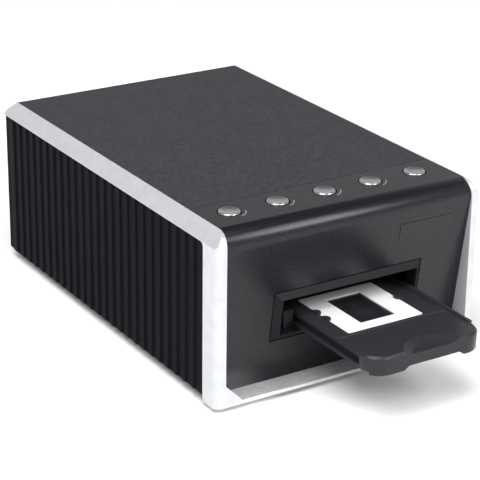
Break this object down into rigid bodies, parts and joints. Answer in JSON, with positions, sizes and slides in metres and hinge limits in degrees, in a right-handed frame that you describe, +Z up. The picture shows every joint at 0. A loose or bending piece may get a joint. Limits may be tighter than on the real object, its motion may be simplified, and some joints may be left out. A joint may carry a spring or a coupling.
{
  "type": "film negative scanner",
  "caption": "Desktop film scanner: flat black case between silver side frames, buttons on top and a motor-driven slide holder run in through a front slot.",
  "frame": {"origin": "on the surface that the feet stand on, under the middle of the whole object with its holder part way out", "axes": "+X to the right seen from the front, -Y is the front with the film slot, +Z up"},
  "size_m": [0.175, 0.3194, 0.1047],
  "materials": {
    "silver": "satin silver, fine grain",
    "cover_black": "fine mottled black",
    "front_black": "smooth semi-matt black",
    "rib_black": "ribbed black",
    "plate_black": "gloss black, bare",
    "button_silver": "satin metal, dished",
    "holder_black": "smooth black",
    "mount_white": "matt white",
    "film_dark": "dark developed film",
    "rubber": "matt black rubber",
    "steel": "plain steel",
    "gear_white": "white acetal",
    "board_green": "solder mask",
    "chip_black": "moulded chip",
    "lamp_white": "white moulding",
    "diffuser": "milky",
    "mirror": "front-silvered",
    "lens_black": "black anodised",
    "glass": "coated glass",
    "inner_black": "black moulding"
  },
  "bodies": {
    "case": {"left_side_frame": "silver", "right_side_frame": "silver", "front_ledge": "silver", "left_ribbed_panel": "rib_black", "right_ribbed_panel": "rib_black", "top_panel": "cover_black", "front_cover": "front_black", "slot_bezel": "front_black", "nameplate": "plate_black", "base_pan": "inner_black", "rubber_feet": "rubber", "rear_panel": "cover_black", "usb_socket": "steel", "dc_socket": "chip_black", "switch_housing": "inner_black", "button_board": "board_green", "press_switches": "chip_black", "flap_pin": "steel", "holder_deck": "inner_black", "motor_can": "steel", "motor_plate": "steel", "shaft_bracket_left": "steel", "shaft_bracket_right": "steel", "lamp_housing": "lamp_white", "lamp_board": "board_green", "lamp_diffuser": "diffuser", "optical_bench": "inner_black", "mirror_glass": "mirror", "lens_barrel": "lens_black", "lens_glass": "glass", "lens_cradle": "inner_black", "sensor_board": "board_green", "image_sensor": "chip_black", "main_board": "board_green", "board_chips": "chip_black", "board_standoffs": "steel"},
    "holder": {"holder_frame": "holder_black", "holder_rack": "holder_black", "slide_mount": "mount_white", "film_chip": "film_dark"},
    "flap": {"dust_flap": "inner_black"},
    "rocker": {"power_rocker": "inner_black"},
    "drive": {"drive_shaft": "steel", "rack_pinion": "gear_white", "drive_gear": "gear_white"},
    "idler": {"idler_gear": "gear_white"},
    "rotor": {"motor_shaft": "steel", "motor_gear": "steel"},
    "button_1": {"scan_button_1": "button_silver"},
    "button_2": {"scan_button_2": "button_silver"},
    "button_3": {"scan_button_3": "button_silver"},
    "button_4": {"scan_button_4": "button_silver"},
    "button_5": {"scan_button_5": "button_silver"}
  },
  "joints": [
    {"name": "holder_slide", "type": "slide", "parent": "case", "child": "holder", "axis": [0, 1, 0], "range_m": [-0.136, 0.061]},
    {"name": "button_1_press", "type": "slide", "parent": "case", "child": "button_1", "axis": [0, 0, -1], "range_m": [0, 0.0008], "stiffness_N_per_m": 1500},
    {"name": "button_2_press", "type": "slide", "parent": "case", "child": "button_2", "axis": [0, 0, -1], "range_m": [0, 0.0008], "stiffness_N_per_m": 1500},
    {"name": "button_3_press", "type": "slide", "parent": "case", "child": "button_3", "axis": [0, 0, -1], "range_m": [0, 0.0008], "stiffness_N_per_m": 1500},
    {"name": "button_4_press", "type": "slide", "parent": "case", "child": "button_4", "axis": [0, 0, -1], "range_m": [0, 0.0008], "stiffness_N_per_m": 1500},
    {"name": "button_5_press", "type": "slide", "parent": "case", "child": "button_5", "axis": [0, 0, -1], "range_m": [0, 0.0008], "stiffness_N_per_m": 1500},
    {"name": "flap_swing", "type": "hinge", "parent": "case", "child": "flap", "pos_m": [0.00205, -0.08275, 0.0582], "axis": [1, 0, 0], "range_deg": [0, 12], "stiffness_Nm_per_rad": 0.002, "springref_deg": -57.3},
    {"name": "power_rock", "type": "hinge", "parent": "case", "child": "rocker", "pos_m": [-0.062, 0.15615, 0.024], "axis": [1, 0, 0], "range_deg": [0, 16]},
    {"name": "drive_spin", "type": "hinge", "parent": "case", "child": "drive", "pos_m": [-0.002, -0.04675, 0.02605], "axis": [1, 0, 0], "range_deg": [-352, 782]},
    {"name": "idler_spin", "type": "hinge", "parent": "case", "child": "idler", "pos_m": [-0.0475, -0.02275, 0.02605], "axis": [1, 0, 0], "range_deg": [-1172, 528]},
    {"name": "motor_spin", "type": "hinge", "parent": "case", "child": "rotor", "pos_m": [-0.062, -0.00835, 0.02605], "axis": [1, 0, 0], "range_deg": [-1052, 2342]}
  ],
  "couplings": [
    {"joint": "drive_spin", "follows": "holder_slide", "rad_per_m": -100},
    {"joint": "idler_spin", "follows": "holder_slide", "rad_per_m": 150},
    {"joint": "motor_spin", "follows": "holder_slide", "rad_per_m": -300}
  ]
}
